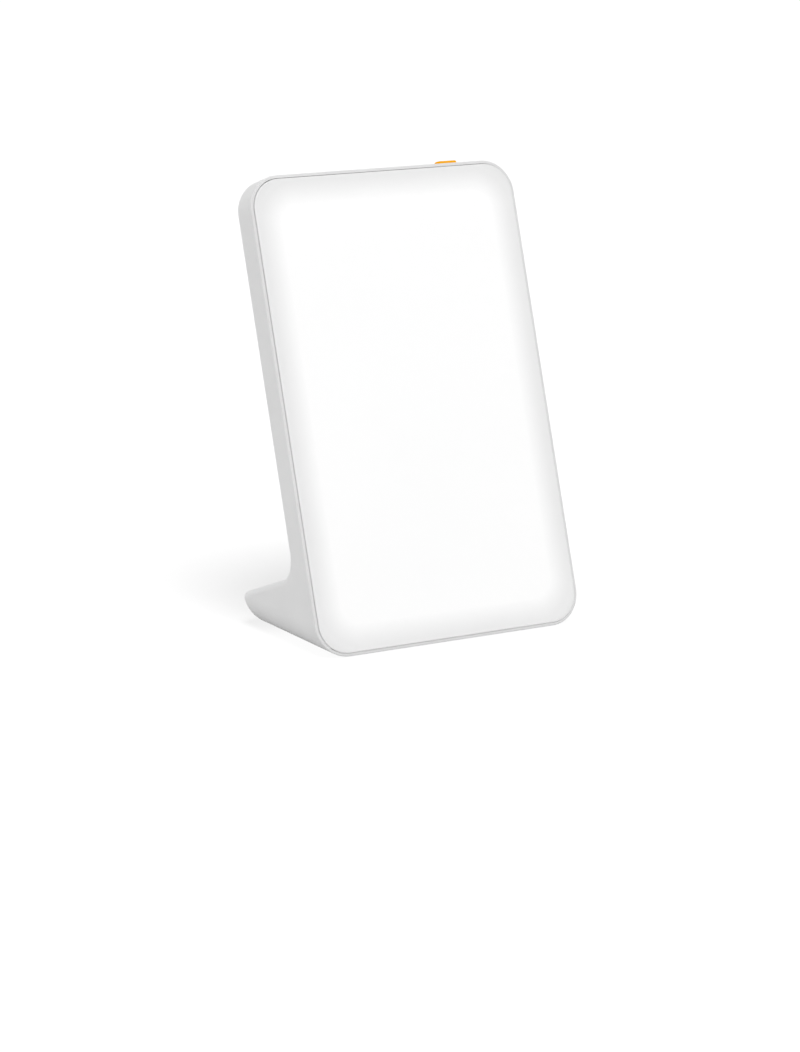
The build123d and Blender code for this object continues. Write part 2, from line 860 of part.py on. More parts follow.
pieces = {
    "rear_housing": rear_housing,
    "front_diffuser": front_diffuser,
    "diffusion_film": diffusion_film,
    "reflector_frame": reflector_frame,
    "led_board": led_board,
    "led_packages": led_packages,
    "heat_spreader": heat_spreader,
    "led_board_screws": led_board_screws,
    "led_connector": led_connector,
    "base_cover": base_cover,
    "base_cover_screws": base_cover_screws,
    "base_pads": base_pads,
    "driver_board": driver_board,
    "driver_inductor": driver_inductor,
    "driver_capacitors": driver_capacitors,
    "driver_chips": driver_chips,
    "driver_connectors": driver_connectors,
    "driver_board_screws": driver_board_screws,
    "dc_jack_body": dc_jack_body,
    "dc_jack_pin": dc_jack_pin,
    "dc_jack_lugs": dc_jack_lugs,
    "power_button": power_button,
    "switch_body": switch_body,
    "switch_plunger": switch_plunger,
    "switch_dome": switch_dome,
    "switch_board": switch_board,
    "switch_board_screws": switch_board_screws,
    "switch_connector": switch_connector,
    "led_lead_red": lambda: led_lead(-1),
    "led_lead_black": lambda: led_lead(1),
    "switch_lead_white": lambda: switch_lead(-1),
    "switch_lead_grey": lambda: switch_lead(1),
    "jack_lead_red": lambda: jack_lead(-1),
    "jack_lead_black": lambda: jack_lead(1),
}

os.makedirs("parts", exist_ok=True)
shapes = {}
for name, make in pieces.items():
    shapes[name] = make()
    print(name, round(shapes[name].volume, 1))

# The origin goes under the middle of the part's box
box = Compound(list(shapes.values())).bounding_box()
forward = -(box.min.Y + box.max.Y) / 2
for name, shape in shapes.items():
    export_step(Pos(0, forward, 0) * shape, f"parts/{name}.step")
print("moved", forward, "along Y; whole part", box)
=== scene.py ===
import itertools
import json
import math
import bmesh
import bpy
import numpy as np
from mathutils import Euler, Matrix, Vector


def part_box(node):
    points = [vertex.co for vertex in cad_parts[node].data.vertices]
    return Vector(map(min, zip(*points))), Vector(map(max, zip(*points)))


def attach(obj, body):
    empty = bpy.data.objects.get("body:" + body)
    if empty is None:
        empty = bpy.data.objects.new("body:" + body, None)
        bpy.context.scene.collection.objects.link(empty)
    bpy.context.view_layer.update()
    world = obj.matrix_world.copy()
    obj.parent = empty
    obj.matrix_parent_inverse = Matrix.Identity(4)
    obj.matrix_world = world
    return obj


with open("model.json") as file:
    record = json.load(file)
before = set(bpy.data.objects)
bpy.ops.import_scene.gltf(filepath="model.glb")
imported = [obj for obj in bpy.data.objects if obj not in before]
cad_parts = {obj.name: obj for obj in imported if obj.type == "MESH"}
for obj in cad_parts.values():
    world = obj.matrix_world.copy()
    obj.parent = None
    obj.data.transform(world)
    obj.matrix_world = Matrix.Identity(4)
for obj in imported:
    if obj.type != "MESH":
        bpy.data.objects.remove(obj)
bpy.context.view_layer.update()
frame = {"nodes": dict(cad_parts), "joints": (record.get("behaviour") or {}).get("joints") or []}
nodes = frame["nodes"]
mm = 0.001
print("frame loaded with", len(nodes), "nodes")

# the panel's own directions: the button is pressed straight down into the leaning panel
panelUp = -Vector(frame["joints"][0]["axis"]).normalized()
across = Vector((1, 0, 0))
outward = across.cross(panelUp)


def pointsOf(name):
    # a node's points as rows of x, y and z
    flat = np.empty(len(nodes[name].data.vertices) * 3)
    nodes[name].data.vertices.foreach_get("co", flat)
    return flat.reshape(-1, 3)


def panelPoints(name):
    # the same as distances across, up and out of the panel
    return pointsOf(name) @ np.array([across, panelUp, outward]).T


def panelBox(name):
    local = panelPoints(name)
    return local.min(axis=0), local.max(axis=0)


def frontEdge():
    # the middle of the front face's bottom edge
    faceOut = panelBox("rear_housing")[1][2]
    base = pointsOf("rear_housing")[:, 2].min()
    return Vector((0, (outward.z * base - faceOut) / -outward.y, base))


# fromFrontEdge is in metres, and axisPixel is where the camera's own axis meets the picture
cameraLook = {
    "pictureSize": (800, 1052),
    "axisPixel": (401.04, 497.25),
    "focalPixels": 3477.8,
    "fromFrontEdge": (-0.86482, -1.39609, 0.44914),
    "azimuth": 30.86,
    "elevation": 12.94,
    "roll": 0.3675,
    "sensor": 36.0,
}


def makeCamera(look):
    wide, high = look["pictureSize"]
    data = bpy.data.cameras.new("camera")
    data.sensor_width = look["sensor"]
    data.lens = look["focalPixels"] / max(wide, high) * look["sensor"]
    data.shift_x = (wide / 2 - look["axisPixel"][0]) / max(wide, high)
    data.shift_y = (look["axisPixel"][1] - high / 2) / max(wide, high)
    camera = bpy.data.objects.new("camera", data)
    camera.location = frontEdge() + Vector(look["fromFrontEdge"])
    turn = (90 - look["elevation"], 0, -look["azimuth"])
    aimed = Euler([math.radians(a) for a in turn]).to_matrix()
    rolled = aimed @ Euler((0, 0, math.radians(look["roll"]))).to_matrix()
    camera.rotation_euler = rolled.to_euler()
    bpy.context.scene.collection.objects.link(camera)
    bpy.context.scene.camera = camera


makeCamera(cameraLook)
print("camera placed")


class Wire:
    # an output socket that can be used in sums, as a number is

    def __init__(self, graph, socket):
        self.graph, self.socket = graph, socket

    def maths(self, operation, *values):
        return self.graph.node("ShaderNodeMath", {"operation": operation}, dict(enumerate(values)))

    def __add__(self, other):
        return self.maths("ADD", self, other)

    def __radd__(self, other):
        return self.maths("ADD", other, self)

    def __sub__(self, other):
        return self.maths("SUBTRACT", self, other)

    def __rsub__(self, other):
        return self.maths("SUBTRACT", other, self)

    def __mul__(self, other):
        return self.maths("MULTIPLY", self, other)

    def __rmul__(self, other):
        return self.maths("MULTIPLY", other, self)

    def __truediv__(self, other):
        return self.maths("DIVIDE", self, other)

    def __rtruediv__(self, other):
        return self.maths("DIVIDE", other, self)

    def __pow__(self, other):
        return self.maths("POWER", self, other)

    def __abs__(self):
        return self.maths("ABSOLUTE", self)

    def __gt__(self, other):
        return self.maths("GREATER_THAN", self, other)

    def __lt__(self, other):
        return self.maths("LESS_THAN", self, other)

    def atLeast(self, other):
        return self.maths("MAXIMUM", self, other)

    def atMost(self, other):
        return self.maths("MINIMUM", self, other)

    def toLine(self, pitch):
        # distance to the nearest of a row of lines with that pitch
        return self.maths("PINGPONG", self, pitch / 2)

    def ramp(self, low, high, kind="LINEAR"):
        # 0 below low, 1 above high and a straight rise between them
        values = {0: self, 1: low, 2: high, 3: 0.0, 4: 1.0}
        return self.graph.node("ShaderNodeMapRange", {"interpolation_type": kind}, values)

    def ease(self, low, high):
        # the same with a smooth start and end
        return self.ramp(low, high, "SMOOTHSTEP")

    def spread(self):
        # noise values, most of which are near 0.5, spread over 0 to 1
        return self.ease(0.3, 0.7)

    def dot(self, direction):
        settings = {"operation": "DOT_PRODUCT"}
        return self.graph.node("ShaderNodeVectorMath", settings, {0: self, 1: tuple(direction)}, 1)

    def stretched(self, by):
        settings = {"operation": "MULTIPLY"}
        return self.graph.node("ShaderNodeVectorMath", settings, {0: self, 1: tuple(by)})


class Graph:
    # the node tree of a material or of the world

    def __init__(self, tree):
        self.tree = tree
        tree.nodes.clear()

    def node(self, kind, settings=None, values=None, output=0):
        made = self.tree.nodes.new(kind)
        for name, value in (settings or {}).items():
            setattr(made, name, value)
        for key, value in (values or {}).items():
            if isinstance(value, Wire):
                self.tree.links.new(value.socket, made.inputs[key])
            else:
                made.inputs[key].default_value = value
        return Wire(self, made.outputs[output] if made.outputs else None)

    def here(self):
        # the point on the object, in the lamp's own frame
        return self.node("ShaderNodeTexCoord", output="Object")

    def noise(self, point, size, detail=2.0, roughness=0.5):
        # soft random values about 0.5, in lumps of that size
        values = {"Vector": point, "Scale": 1 / size, "Detail": detail, "Roughness": roughness}
        return self.node("ShaderNodeTexNoise", {}, values)

    def pits(self, point, size):
        # distance to the nearest of points strewn about that far apart, as a share of it
        return self.node("ShaderNodeTexVoronoi", {}, {"Vector": point, "Scale": 1 / size})

    def blend(self, first, second, share):
        # from the first colour to the second as share goes from 0 to 1
        return self.node("ShaderNodeMix", {"data_type": "RGBA"}, {0: share, 6: first, 7: second}, 2)

    def mottled(self, tone, share, cloud):
        # the tone, falling to that share of itself in patches
        return self.blend(shade(tone, share), tone, cloud.spread())

    def bump(self, height, depth):
        # depth is how far a height of 1 stands out, in metres
        return self.node("ShaderNodeBump", {}, {"Height": height, "Distance": depth})

    def lightPath(self, name):
        return self.node("ShaderNodeLightPath", output=name)

    def seenDirectly(self):
        # 1 for rays that show the background: from the camera, a gloss or a glass
        rays = [self.lightPath(f"Is {kind} Ray") for kind in ("Camera", "Glossy", "Transmission")]
        return rays[0].atLeast(rays[1]).atLeast(rays[2])


def screen(red, green, blue):
    # 8-bit screen values to the linear colour that a shader takes
    level = np.array([red, green, blue]) / 255
    linear = np.where(level <= 0.04045, level / 12.92, ((level + 0.055) / 1.055) ** 2.4)
    return (*linear.tolist(), 1.0)


def shade(tone, share):
    return (*(min(1.0, c * share) for c in tone[:3]), 1.0)


def newMaterial(name):
    made = bpy.data.materials.new(name)
    made.use_nodes = True
    return made, Graph(made.node_tree)


def closeSurface(graph, values):
    surface = graph.node("ShaderNodeBsdfPrincipled", {}, values)
    graph.node("ShaderNodeOutputMaterial", {}, {"Surface": surface})


def dress(material, *names):
    for name in names:
        for slot in nodes[name].material_slots:
            slot.material = material


# moulded plastics and rubber: lengths in millimetres, drift is how far the tone and gloss wander
plasticLooks = {
    "housingPlastic": {
        "nodes": ["rear_housing"],
        "tone": screen(222, 222, 222), "roughness": 0.56, "drift": 0.02,
        "cloud": 38.0, "grain": 0.34, "grainDepth": 0.009,
    },
    "coverPlastic": {
        "nodes": ["base_cover"],
        "tone": screen(205, 205, 206), "roughness": 0.6, "drift": 0.03,
        "cloud": 22.0, "grain": 0.42, "grainDepth": 0.014,
    },
    "buttonOrange": {
        "nodes": ["power_button"],
        "tone": screen(244, 170, 4), "roughness": 0.5, "drift": 0.03, "gloss": 0.1,
        "cloud": 5.0, "grain": 0.18, "grainDepth": 0.004,
    },
    "padRubber": {
        "nodes": ["base_pads"],
        "tone": screen(150, 150, 152), "roughness": 0.82, "drift": 0.07,
        "cloud": 3.0, "grain": 0.22, "grainDepth": 0.02,
    },
    "reflectorWhite": {
        "nodes": ["reflector_frame"],
        "tone": screen(243, 243, 241), "roughness": 0.5, "drift": 0.015,
        "cloud": 30.0, "grain": 0.5, "grainDepth": 0.006,
    },
    "frostedFilm": {
        "nodes": ["diffusion_film"],
        "tone": screen(240, 241, 242), "roughness": 0.62, "drift": 0.01,
        "cloud": 45.0, "grain": 0.12, "grainDepth": 0.01,
    },
    "connectorNylon": {
        "nodes": ["led_connector", "driver_connectors", "switch_connector"],
        "tone": screen(232, 226, 206), "roughness": 0.42, "drift": 0.04,
        "cloud": 2.5, "grain": 0.15, "grainDepth": 0.004,
    },
    "plungerNylon": {
        "nodes": ["switch_plunger"],
        "tone": screen(226, 226, 221), "roughness": 0.4, "drift": 0.04,
        "cloud": 1.2, "grain": 0.1, "grainDepth": 0.003,
    },
    "blackPlastic": {
        "nodes": ["dc_jack_body", "switch_body"],
        "tone": screen(30, 30, 32), "roughness": 0.44, "drift": 0.12,
        "cloud": 4.0, "grain": 0.2, "grainDepth": 0.006,
    },
    "chipEpoxy": {
        "nodes": ["driver_chips"],
        "tone": screen(37, 37, 38), "roughness": 0.66, "drift": 0.14,
        "cloud": 1.5, "grain": 0.09, "grainDepth": 0.008,
    },
    "leadRed": {
        "nodes": ["led_lead_red", "jack_lead_red"],
        "tone": screen(178, 24, 20), "roughness": 0.35, "drift": 0.06,
        "cloud": 6.0, "grain": 0.3, "grainDepth": 0.003,
    },
    "leadBlack": {
        "nodes": ["led_lead_black", "jack_lead_black"],
        "tone": screen(26, 26, 28), "roughness": 0.36, "drift": 0.12,
        "cloud": 6.0, "grain": 0.3, "grainDepth": 0.003,
    },
    "leadWhite": {
        "nodes": ["switch_lead_white"],
        "tone": screen(228, 228, 222), "roughness": 0.38, "drift": 0.04,
        "cloud": 6.0, "grain": 0.3, "grainDepth": 0.003,
    },
    "leadGrey": {
        "nodes": ["switch_lead_grey"],
        "tone": screen(126, 128, 132), "roughness": 0.38, "drift": 0.05,
        "cloud": 6.0, "grain": 0.3, "grainDepth": 0.003,
    },
    "ferrite": {
        "nodes": ["driver_inductor"],
        "tone": screen(62, 61, 62), "roughness": 0.7, "drift": 0.2,
        "cloud": 1.8, "grain": 0.14, "grainDepth": 0.012,
    },
}

# what all the plastics share: pitWidth is in grains, the tone is darker in the low noise that
# lowRange gives, and cloudGloss is in drifts
plasticFinish = {
    "noiseDetail": 3.0, "grainRoughness": 0.6, "pitWidth": 2.2, "lowRange": (0.1, 0.5),
    "pitInTone": 0.5, "pitInRelief": 0.4, "cloudGloss": 4.0, "grainGloss": 0.12, "gloss": 0.5,
}


def makePlastic(name, look, finish):
    # broad clouds drift the tone and gloss, and fine grain with strewn pits roughens the surface
    material, graph = newMaterial(name)
    here = graph.here()
    cloud = graph.noise(here, look["cloud"] * mm, finish["noiseDetail"])
    grain = graph.noise(here, look["grain"] * mm, finish["noiseDetail"], finish["grainRoughness"])
    pits = graph.pits(here, look["grain"] * finish["pitWidth"] * mm).ease(*finish["lowRange"])
    tone, drift = look["tone"], look["drift"]
    clouded = graph.blend(shade(tone, 1 - drift), shade(tone, 1 + drift), cloud.spread())
    inTone, inRelief = finish["pitInTone"], finish["pitInRelief"]
    rough = (grain * (1 - inTone) + pits * inTone).ease(*finish["lowRange"])
    cloudGloss = (cloud - 0.5) * finish["cloudGloss"] * drift
    closeSurface(graph, {
        "Base Color": graph.blend(shade(tone, 1 - 2 * drift), clouded, rough),
        "Roughness": look["roughness"] + cloudGloss + (grain - 0.5) * finish["grainGloss"],
        "Specular IOR Level": look.get("gloss", finish["gloss"]),
        "Normal": graph.bump(grain * (1 - inRelief) + pits * inRelief, look["grainDepth"] * mm),
    })
    dress(material, *look["nodes"])


for name, look in plasticLooks.items():
    makePlastic(name, look, plasticFinish)
print("plastics made:", len(plasticLooks))

# the lit sheet: insets are distances in from its edge, in millimetres, and glows are light given out;
# the rim's thin line is a painted highlight on the rounded edge; lowGlow and the painted light in the
# bottom of the groove are added at the bottom and fade out as far up as their rise
diffuserLook = {
    "body": screen(206, 206, 206),
    "bodyShade": 0.99,
    "edgeGlow": 0.207,
    "middleGlow": 0.37,
    "fadeStart": 1.9,
    "fadeEnd": 13.3,
    "fadePower": 1.15,
    "fadeRadius": 23.0,
    "cornerRadius": 14.65,
    "cornerGlow": 0.172,
    "cornerInset": (-3.5, 1.0),
    "rimPaintedHighlight": 0.235,
    "rimHighlightInset": (0.15, 0.5),
    "grooveGlow": 0.15,
    "lowGlow": 0.018,
    "lowGlowRise": 60.0,
    "groovePaintedLight": 0.19,
    "groovePaintedLightRise": 12.0,
    "sideFade": (-0.25, 0.2),
    "roughness": 0.42,
    "glossDrift": 0.08,
    "cloud": 60.0,
    "grain": 0.2,
    "grainDepth": 0.003,
}


def insetFromEdge(graph, here, low, high, radius):
    # how far a point lies inside a rounded rectangle: with q the point's distance past the inner
    # rectangle of the corner centres, it is radius - |max(q, 0)| - min(max(q.x, q.y), 0)
    middle, half = (low + high) / 2, (high - low) / 2
    beyond = [
        abs(here.dot(axis) - float(middle[i])) - float(half[i] - radius)
        for i, axis in enumerate((across, panelUp))
    ]
    corner = (beyond[0].atLeast(0.0) ** 2.0 + beyond[1].atLeast(0.0) ** 2.0) ** 0.5
    return radius - corner - beyond[0].atLeast(beyond[1]).atMost(0.0)


def grey(level):
    return (level, level, level, 1.0)


def makeDiffuser(look):
    # the glow fades in from the edge, more slowly in the corners, under a painted highlight: a thin
    # brighter line where the sheet's edge is rounded; it is faint inside the groove, with painted
    # light at the groove's bottom
    material, graph = newMaterial("opalDiffuser")
    here = graph.here()
    local = panelPoints("front_diffuser")
    rimOut = panelBox("rear_housing")[1][2]
    proud = local[local[:, 2] > rimOut]
    low, high = proud.min(axis=0), proud.max(axis=0)
    inset = insetFromEdge(graph, here, low, high, look["fadeRadius"] * mm) / mm
    fade = inset.ramp(look["fadeStart"], look["fadeEnd"]) ** look["fadePower"]
    above = (here.dot(panelUp) - float(low[1])) / mm
    lowGlow = (1 - above.ease(0.0, look["lowGlowRise"])) * look["lowGlow"]
    # painted light: the bottom of the groove glows brighter, fading out upwards
    groovePaintedLight = (1 - above.ease(0.0, look["groovePaintedLightRise"])) * look["groovePaintedLight"]
    glow = graph.blend(look["edgeGlow"] + lowGlow, grey(look["middleGlow"]), fade)
    glow = graph.blend(look["cornerGlow"] + lowGlow, glow, inset.ease(*look["cornerInset"]))
    # painted highlight: a thin brighter line glows along the sheet's rounded edge
    edge = insetFromEdge(graph, here, low, high, look["cornerRadius"] * mm) / mm
    glow = graph.blend(grey(look["rimPaintedHighlight"]), glow, edge.ease(*look["rimHighlightInset"]))
    height = (here.dot(outward) - float(rimOut)) / mm
    glow = graph.blend(look["grooveGlow"] + groovePaintedLight, glow, height.ease(*look["sideFade"]))
    grain = graph.noise(here, look["grain"] * mm)
    cloud = graph.noise(here, look["cloud"] * mm)
    closeSurface(graph, {
        "Base Color": graph.mottled(look["body"], look["bodyShade"], cloud),
        "Roughness": look["roughness"] + (cloud - 0.5) * look["glossDrift"],
        "Emission Color": glow,
        "Emission Strength": 1.0,
        "Normal": graph.bump(grain, look["grainDepth"] * mm),
    })
    dress(material, "front_diffuser")


makeDiffuser(diffuserLook)
print("diffuser lit")

# metals: sizes in millimetres; a small stretch draws the streaks out along that axis
metalLooks = {
    "spreaderAluminium": {
        "nodes": ["heat_spreader"],
        "tone": (0.76, 0.77, 0.78, 1.0), "roughness": 0.38,
        "streak": 0.5, "stretch": (0.04, 1.0, 1.0), "streakDepth": 0.003, "stain": 24.0,
    },
    "screwSteel": {
        "nodes": [
            "led_board_screws", "base_cover_screws", "driver_board_screws", "switch_board_screws",
        ],
        "tone": (0.56, 0.56, 0.57, 1.0), "roughness": 0.33,
        "streak": 0.2, "stretch": (1.0, 0.3, 1.0), "streakDepth": 0.004, "stain": 2.0,
    },
    "contactBrass": {
        "nodes": ["dc_jack_pin", "dc_jack_lugs"],
        "tone": (0.78, 0.60, 0.30, 1.0), "roughness": 0.28,
        "streak": 0.15, "stretch": (1.0, 0.2, 1.0), "streakDepth": 0.003, "stain": 1.5,
    },
    "enamelCopper": {
        "nodes": [],
        "tone": (0.72, 0.36, 0.20, 1.0), "roughness": 0.3,
        "streak": 0.3, "stretch": (1.0, 1.0, 1.0), "streakDepth": 0.002, "stain": 1.2,
    },
    "domeSteel": {
        "nodes": ["switch_dome"],
        "tone": (0.66, 0.66, 0.67, 1.0), "roughness": 0.24,
        "streak": 0.12, "stretch": (0.15, 1.0, 1.0), "streakDepth": 0.002, "stain": 1.0,
    },
}

# what all the metals share: shades are shares of the metal's tone, ranges are of the noise, and
# glosses are added to the roughness
metalFinish = {
    "streakDetail": 4.0, "streakRoughness": 0.6, "streakShade": 0.9, "streakRange": (0.25, 0.55),
    "streakGloss": 0.2, "stainDetail": 3.0, "stainShade": 0.86, "stainRange": (0.45, 0.7),
    "stainGloss": 0.1,
}


def makeMetal(name, look, finish):
    # streaks from rolling or turning, over blotches where the surface has dulled
    material, graph = newMaterial(name)
    here = graph.here()
    drawn = here.stretched(look["stretch"])
    streak = graph.noise(drawn, look["streak"] * mm, finish["streakDetail"], finish["streakRoughness"])
    stain = graph.noise(here, look["stain"] * mm, finish["stainDetail"]).ease(*finish["stainRange"])
    tone = look["tone"]
    dulled = graph.blend(tone, shade(tone, finish["stainShade"]), stain)
    lines = streak.ease(*finish["streakRange"])
    streakGloss = (streak - 0.5) * finish["streakGloss"]
    closeSurface(graph, {
        "Base Color": graph.blend(shade(tone, finish["streakShade"]), dulled, lines),
        "Metallic": 1.0,
        "Roughness": look["roughness"] + streakGloss + stain * finish["stainGloss"],
        "Normal": graph.bump(streak, look["streakDepth"] * mm),
    })
    dress(material, *look["nodes"])
    return material


metals = {name: makeMetal(name, look, metalFinish) for name, look in metalLooks.items()}
print("metals made:", len(metals))

# circuit boards: lengths in millimetres, over is the direction across the rows and up the one out
# of the board
boardLooks = {
    "ledBoard": {
        "node": "led_board", "over": panelUp, "up": outward,
        "mask": screen(240, 240, 236), "track": screen(229, 230, 227),
        "core": (0.70, 0.71, 0.72, 1.0), "coreMetal": 1.0,
        "pitch": 3.6, "trackWidth": 1.2, "patch": 36.0,
    },
    "driverBoard": {
        "node": "driver_board", "over": Vector((0, 1, 0)), "up": Vector((0, 0, 1)),
        "mask": screen(22, 84, 48), "track": screen(40, 112, 64),
        "core": screen(190, 172, 118), "coreMetal": 0.0,
        "pitch": 1.4, "trackWidth": 0.4, "patch": 9.0,
    },
    "switchBoard": {
        "node": "switch_board", "over": panelUp, "up": outward,
        "mask": screen(22, 84, 48), "track": screen(40, 112, 64),
        "core": screen(190, 172, 118), "coreMetal": 0.0,
        "pitch": 1.2, "trackWidth": 0.4, "patch": 7.0,
    },
}

# what the boards share: the mask covers both faces as deep as maskDepth, trackRise is how far the
# tracks lift it, and glosses are added to the roughness
boardFinish = {
    "maskDepth": (0.02, 0.05), "trackBlur": 0.08, "trackRise": 0.02,
    "patchDetail": 1.0, "patchShare": 0.5, "cloud": 8.0, "maskShade": 0.94,
    "roughness": 0.34, "coreGloss": 0.2, "cloudGloss": 0.1,
}


def makeBoard(name, look, finish):
    # tracks show faintly through the mask, one way in some patches and the other way in the rest;
    # the bare core shows where a point is away from both faces, on the edges and in the holes
    material, graph = newMaterial(name)
    here = graph.here()
    level = pointsOf(look["node"]) @ np.array(look["up"])
    middle, half = (level.max() + level.min()) / 2, (level.max() - level.min()) / 2
    inside = (float(half) - abs(here.dot(look["up"]) - float(middle))) / mm
    core = inside.ease(*finish["maskDepth"])
    patch = graph.noise(here, look["patch"] * mm, finish["patchDetail"]) > finish["patchShare"]
    edge = look["trackWidth"] / 2
    along, over = [
        (here.dot(way) / mm).toLine(look["pitch"]).ramp(edge, edge + finish["trackBlur"])
        for way in (across, look["over"])
    ]
    bare = along * patch + over * (1 - patch)
    cloud = graph.noise(here, finish["cloud"] * mm)
    face = graph.blend(look["track"], graph.mottled(look["mask"], finish["maskShade"], cloud), bare)
    cloudGloss = (cloud - 0.5) * finish["cloudGloss"]
    closeSurface(graph, {
        "Base Color": graph.blend(face, look["core"], core),
        "Metallic": core * look["coreMetal"],
        "Roughness": finish["roughness"] + core * finish["coreGloss"] + cloudGloss,
        "Normal": graph.bump((1 - bare) * (1 - core), finish["trackRise"] * mm),
    })
    dress(material, look["node"])


for name, look in boardLooks.items():
    makeBoard(name, look, boardFinish)

# light emitting packages: columns and rows are the panel's own pattern, sizes in millimetres
packageLook = {
    "columns": 8, "rows": 13, "size": (3.5, 2.8), "cupRadius": 1.12, "cupEdge": 0.06,
    "case": screen(244, 243, 236), "caseShade": 0.95, "caseCloud": 0.7, "caseRoughness": 0.3,
    "phosphor": screen(247, 214, 92), "phosphorShade": 0.88,
    "phosphorGlow": (0.9, 0.82, 0.5, 1.0), "cupGloss": 0.3,
    "speckle": 0.09, "speckleGloss": 0.1, "speckleDepth": 0.01,
}


def makePackages(look):
    # a point's distances to the nearest column and row of package middles give its distance to
    # the nearest cup, which is filled with phosphor
    material, graph = newMaterial("ledPackage")
    here = graph.here()
    low, high = panelBox("led_packages")
    steps = []
    for i, (way, count) in enumerate(((across, look["columns"]), (panelUp, look["rows"]))):
        first = float(low[i]) + look["size"][i] / 2 * mm
        pitch = (float(high[i] - low[i]) - look["size"][i] * mm) / (count - 1)
        steps.append((here.dot(way) - first).toLine(pitch) / mm)
    reach = (steps[0] ** 2.0 + steps[1] ** 2.0) ** 0.5
    cup = 1 - reach.ease(look["cupRadius"] - look["cupEdge"], look["cupRadius"])
    speckle = graph.noise(here, look["speckle"] * mm)
    cloud = graph.noise(here, look["caseCloud"] * mm)
    phosphor = graph.mottled(look["phosphor"], look["phosphorShade"], speckle)
    case = graph.mottled(look["case"], look["caseShade"], cloud)
    speckleGloss = (speckle - 0.5) * look["speckleGloss"]
    closeSurface(graph, {
        "Base Color": graph.blend(case, phosphor, cup),
        "Roughness": look["caseRoughness"] + cup * look["cupGloss"] + speckleGloss,
        "Emission Color": graph.blend(grey(0.0), look["phosphorGlow"], cup),
        "Emission Strength": 1.0,
        "Normal": graph.bump(speckle * cup, look["speckleDepth"] * mm),
    })
    dress(material, "led_packages")


makePackages(packageLook)

# electrolytic capacitors, in two columns and two rows: sizes in millimetres
capacitorLook = {
    "radius": 3.15, "topDepth": 0.4, "rimWidth": 0.75, "rimEdge": 0.1,
    "scoreWidth": 0.13, "scoreDepth": 0.05, "scorePaintedShade": 0.45,
    "stripe": screen(206, 210, 214), "stripeDepth": 0.45, "stripeEdge": 0.06,
    "sleeve": screen(36, 44, 70), "sleeveShade": 0.8, "top": (0.74, 0.75, 0.76, 1.0),
    "cloud": 1.6, "cloudDetail": 3.0, "cloudGloss": 0.2, "roughness": 0.3,
}


def makeCapacitors(look):
    # a shrunk sleeve with a pale stripe down the inner side, and a bare scored top inside its rim
    # whose scores are darkened with painted shade
    material, graph = newMaterial("capacitorSleeve")
    here = graph.here()
    low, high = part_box("driver_capacitors")
    radius = look["radius"]
    middle = [(low[i] + high[i]) / 2 for i in (0, 1)]
    spread = [(high[i] - low[i]) / 2 / mm - radius for i in (0, 1)]
    aside = abs(here.dot((1, 0, 0)) - float(middle[0])) / mm - float(spread[0])
    behind = abs(here.dot((0, 1, 0)) - float(middle[1])) / mm - float(spread[1])
    reach = (aside ** 2.0 + behind ** 2.0) ** 0.5
    top = (here.dot((0, 0, 1)) - float(high[2])) / mm
    bare = top.ease(-look["topDepth"], -look["topDepth"] / 2)
    rim = radius - look["rimWidth"]
    bare = bare * (1 - reach.ease(rim, rim + look["rimEdge"]))
    score = abs(aside).atMost(abs(behind)).ease(look["scoreWidth"] / 2, look["scoreWidth"])
    stripeStart = look["stripeDepth"] - radius
    stripe = 1 - aside.ease(stripeStart, stripeStart + look["stripeEdge"])
    cloud = graph.noise(here, look["cloud"] * mm, look["cloudDetail"])
    sleeve = graph.mottled(look["sleeve"], look["sleeveShade"], cloud)
    # painted shade: the score lines fall to a share of the top's tone
    metal = graph.blend(shade(look["top"], look["scorePaintedShade"]), look["top"], score)
    closeSurface(graph, {
        "Base Color": graph.blend(graph.blend(sleeve, look["stripe"], stripe), metal, bare),
        "Metallic": bare,
        "Roughness": look["roughness"] + (cloud - 0.5) * look["cloudGloss"],
        "Normal": graph.bump(score * bare - bare, look["scoreDepth"] * mm),
    })
    dress(material, "driver_capacitors")


makeCapacitors(capacitorLook)
print("boards and their parts finished")


def meshPiece(name, points, faces, material):
    # one new piece on the housing, with its faces turned outwards
    mesh = bpy.data.meshes.new(name)
    mesh.from_pydata(points.tolist(), [], faces)
    work = bmesh.new()
    work.from_mesh(mesh)
    bmesh.ops.recalc_face_normals(work, faces=work.faces)
    work.to_mesh(mesh)
    work.free()
    mesh.materials.append(material)
    piece = bpy.data.objects.new(name, mesh)
    bpy.context.scene.collection.objects.link(piece)
    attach(piece, "housing")


def sweep(path, side, section):
    # ring i is path[i] + u * side + v * lift, where (u, v) goes round the section and lift is
    # square to both the path and side
    run = np.gradient(path, axis=0)
    lift = np.cross(run, side)
    lift /= np.linalg.norm(lift, axis=1, keepdims=True)
    u, v = section[None, :, :1], section[None, :, 1:]
    rings = path[:, None] + u * np.array(side) + v * lift[:, None]
    count = len(section)
    last = (len(path) - 1) * count
    start = np.arange(0, last, count)[:, None]
    near = start + np.arange(count)
    after = start + (np.arange(count) + 1) % count
    sides = np.stack([near, after, after + count, near + count], axis=2)
    ends = [list(range(count)), list(range(last, last + count))]
    return rings.reshape(-1, 3), sides.reshape(-1, 4).tolist() + ends


def joined(shapes):
    # several sets of points and faces as one
    points, faces, offset = [], [], 0
    for some, around in shapes:
        points.append(some)
        faces += [[i + offset for i in face] for face in around]
        offset += len(some)
    return np.concatenate(points), faces


def circle(radius, count):
    # (radius * cos a, radius * sin a) for count angles a
    angle = np.arange(count) / count * 2 * np.pi
    return radius * np.stack([np.cos(angle), np.sin(angle)], axis=1)


# the choke's winding, in millimetres
windingLook = {
    "turns": 5.5, "wire": 0.24, "radius": 4.86, "flange": 1.5, "perTurn": 40, "sides": 10,
}


